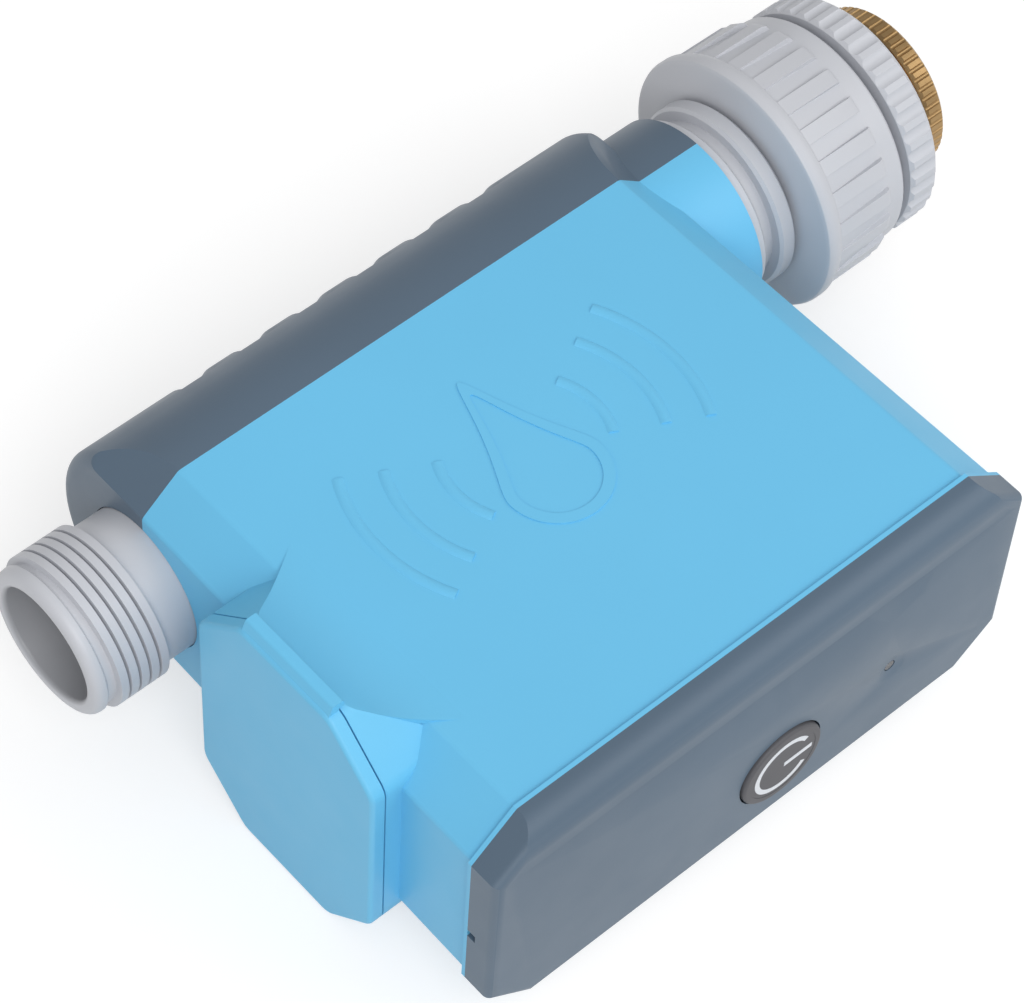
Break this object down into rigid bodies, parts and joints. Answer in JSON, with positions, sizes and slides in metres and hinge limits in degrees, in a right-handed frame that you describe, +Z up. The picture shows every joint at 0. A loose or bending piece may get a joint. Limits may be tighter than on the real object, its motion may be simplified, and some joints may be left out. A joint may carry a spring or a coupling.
{
  "type": "irrigation timer",
  "caption": "Tap-mounted irrigation timer: flat battery-powered housing on an in-line motor valve, with a swivel inlet nut, thread adapters and a male outlet thread.",
  "frame": {"origin": "centre of the inlet thread's mouth, on the water pipe's axis", "axes": "+X out of the inlet along the pipe; the control panel faces -Y; +Z up as the timer lies on a table with its broad face up"},
  "size_m": [0.1687, 0.1017, 0.0544],
  "materials": {
    "blue_plastic": "satin",
    "slate_plastic": "satin",
    "grey_plastic": "satin",
    "brass": "satin",
    "dark_plastic": "satin",
    "white_print": "satin",
    "black_rubber": "matte",
    "white_plastic": "satin",
    "black_plastic": "satin",
    "board_green": "satin",
    "steel": "satin",
    "motor_case": "satin",
    "stem_brass": "satin",
    "ball_chrome": "polished",
    "cell_wrap": "gloss",
    "clear_plastic": "clear"
  },
  "bodies": {
    "housing": {"front_shell": "blue_plastic", "rear_shell": "slate_plastic", "control_panel": "slate_plastic", "panel_seal": "black_rubber", "light_pipe": "clear_plastic", "circuit_board": "board_green", "tact_switch": "black_plastic", "status_lamp": "clear_plastic", "radio_module": "steel", "board_screws": "steel", "shell_screws": "steel", "valve_body": "grey_plastic", "stem_seals": "black_rubber", "valve_seats": "white_plastic", "inlet_spigot": "grey_plastic", "inlet_strainer": "white_plastic", "gearbox_case": "white_plastic", "gearbox_cover": "white_plastic", "gear_axles": "steel", "gear_motor": "motor_case"},
    "power_key": {"power_button": "dark_plastic", "power_symbol": "white_print"},
    "battery_drawer": {"battery_cover": "blue_plastic", "battery_seal": "black_rubber", "battery_holder": "black_plastic", "battery_1": "cell_wrap", "battery_2": "cell_wrap", "battery_3": "cell_wrap", "battery_4": "cell_wrap", "contact_plates": "steel", "contact_springs": "steel"},
    "nut": {"swivel_nut": "grey_plastic"},
    "reducer": {"plastic_reducer": "grey_plastic", "inlet_washer": "black_rubber"},
    "adapter": {"brass_reducer": "brass", "reducer_washer": "black_rubber"},
    "valve": {"valve_ball": "ball_chrome", "valve_stem": "stem_brass", "output_gear": "white_plastic"},
    "first_gear": {"first_idler": "white_plastic"},
    "second_gear": {"second_idler": "white_plastic"},
    "rotor": {"motor_pinion": "white_plastic", "motor_shaft": "steel"}
  },
  "joints": [
    {"name": "power_key_press", "type": "slide", "parent": "housing", "child": "power_key", "axis": [0, 1, 0], "range_m": [0, 0.0008], "stiffness_N_per_m": 1500, "springref_m": -0.0003},
    {"name": "battery_drawer_slide", "type": "slide", "parent": "housing", "child": "battery_drawer", "axis": [-1, 0, 0], "range_m": [0, 0.062]},
    {"name": "nut_turn", "type": "hinge", "parent": "housing", "child": "nut", "pos_m": [-0.024, 0, 0], "axis": [1, 0, 0], "continuous": true},
    {"name": "reducer_turn", "type": "hinge", "parent": "nut", "child": "reducer", "pos_m": [-0.016, 0, 0], "axis": [1, 0, 0], "continuous": true},
    {"name": "adapter_turn", "type": "hinge", "parent": "reducer", "child": "adapter", "pos_m": [-0.008, 0, 0], "axis": [1, 0, 0], "continuous": true},
    {"name": "valve_turn", "type": "hinge", "parent": "housing", "child": "valve", "pos_m": [-0.07, 0, 0], "axis": [0, -1, 0], "range_deg": [0, 90]},
    {"name": "first_gear_turn", "type": "hinge", "parent": "housing", "child": "first_gear", "pos_m": [-0.0828, -0.024, 0], "axis": [0, -1, 0], "range_deg": [-270, 0]},
    {"name": "second_gear_turn", "type": "hinge", "parent": "housing", "child": "second_gear", "pos_m": [-0.078, -0.027, 0.00831], "axis": [0, -1, 0], "range_deg": [0, 810]},
    {"name": "rotor_turn", "type": "hinge", "parent": "housing", "child": "rotor", "pos_m": [-0.07065, -0.029, 0.00214], "axis": [0, -1, 0], "range_deg": [-2430, 0]}
  ],
  "couplings": [
    {"joint": "first_gear_turn", "follows": "valve_turn", "ratio": -3},
    {"joint": "second_gear_turn", "follows": "valve_turn", "ratio": 9},
    {"joint": "rotor_turn", "follows": "valve_turn", "ratio": -27}
  ]
}
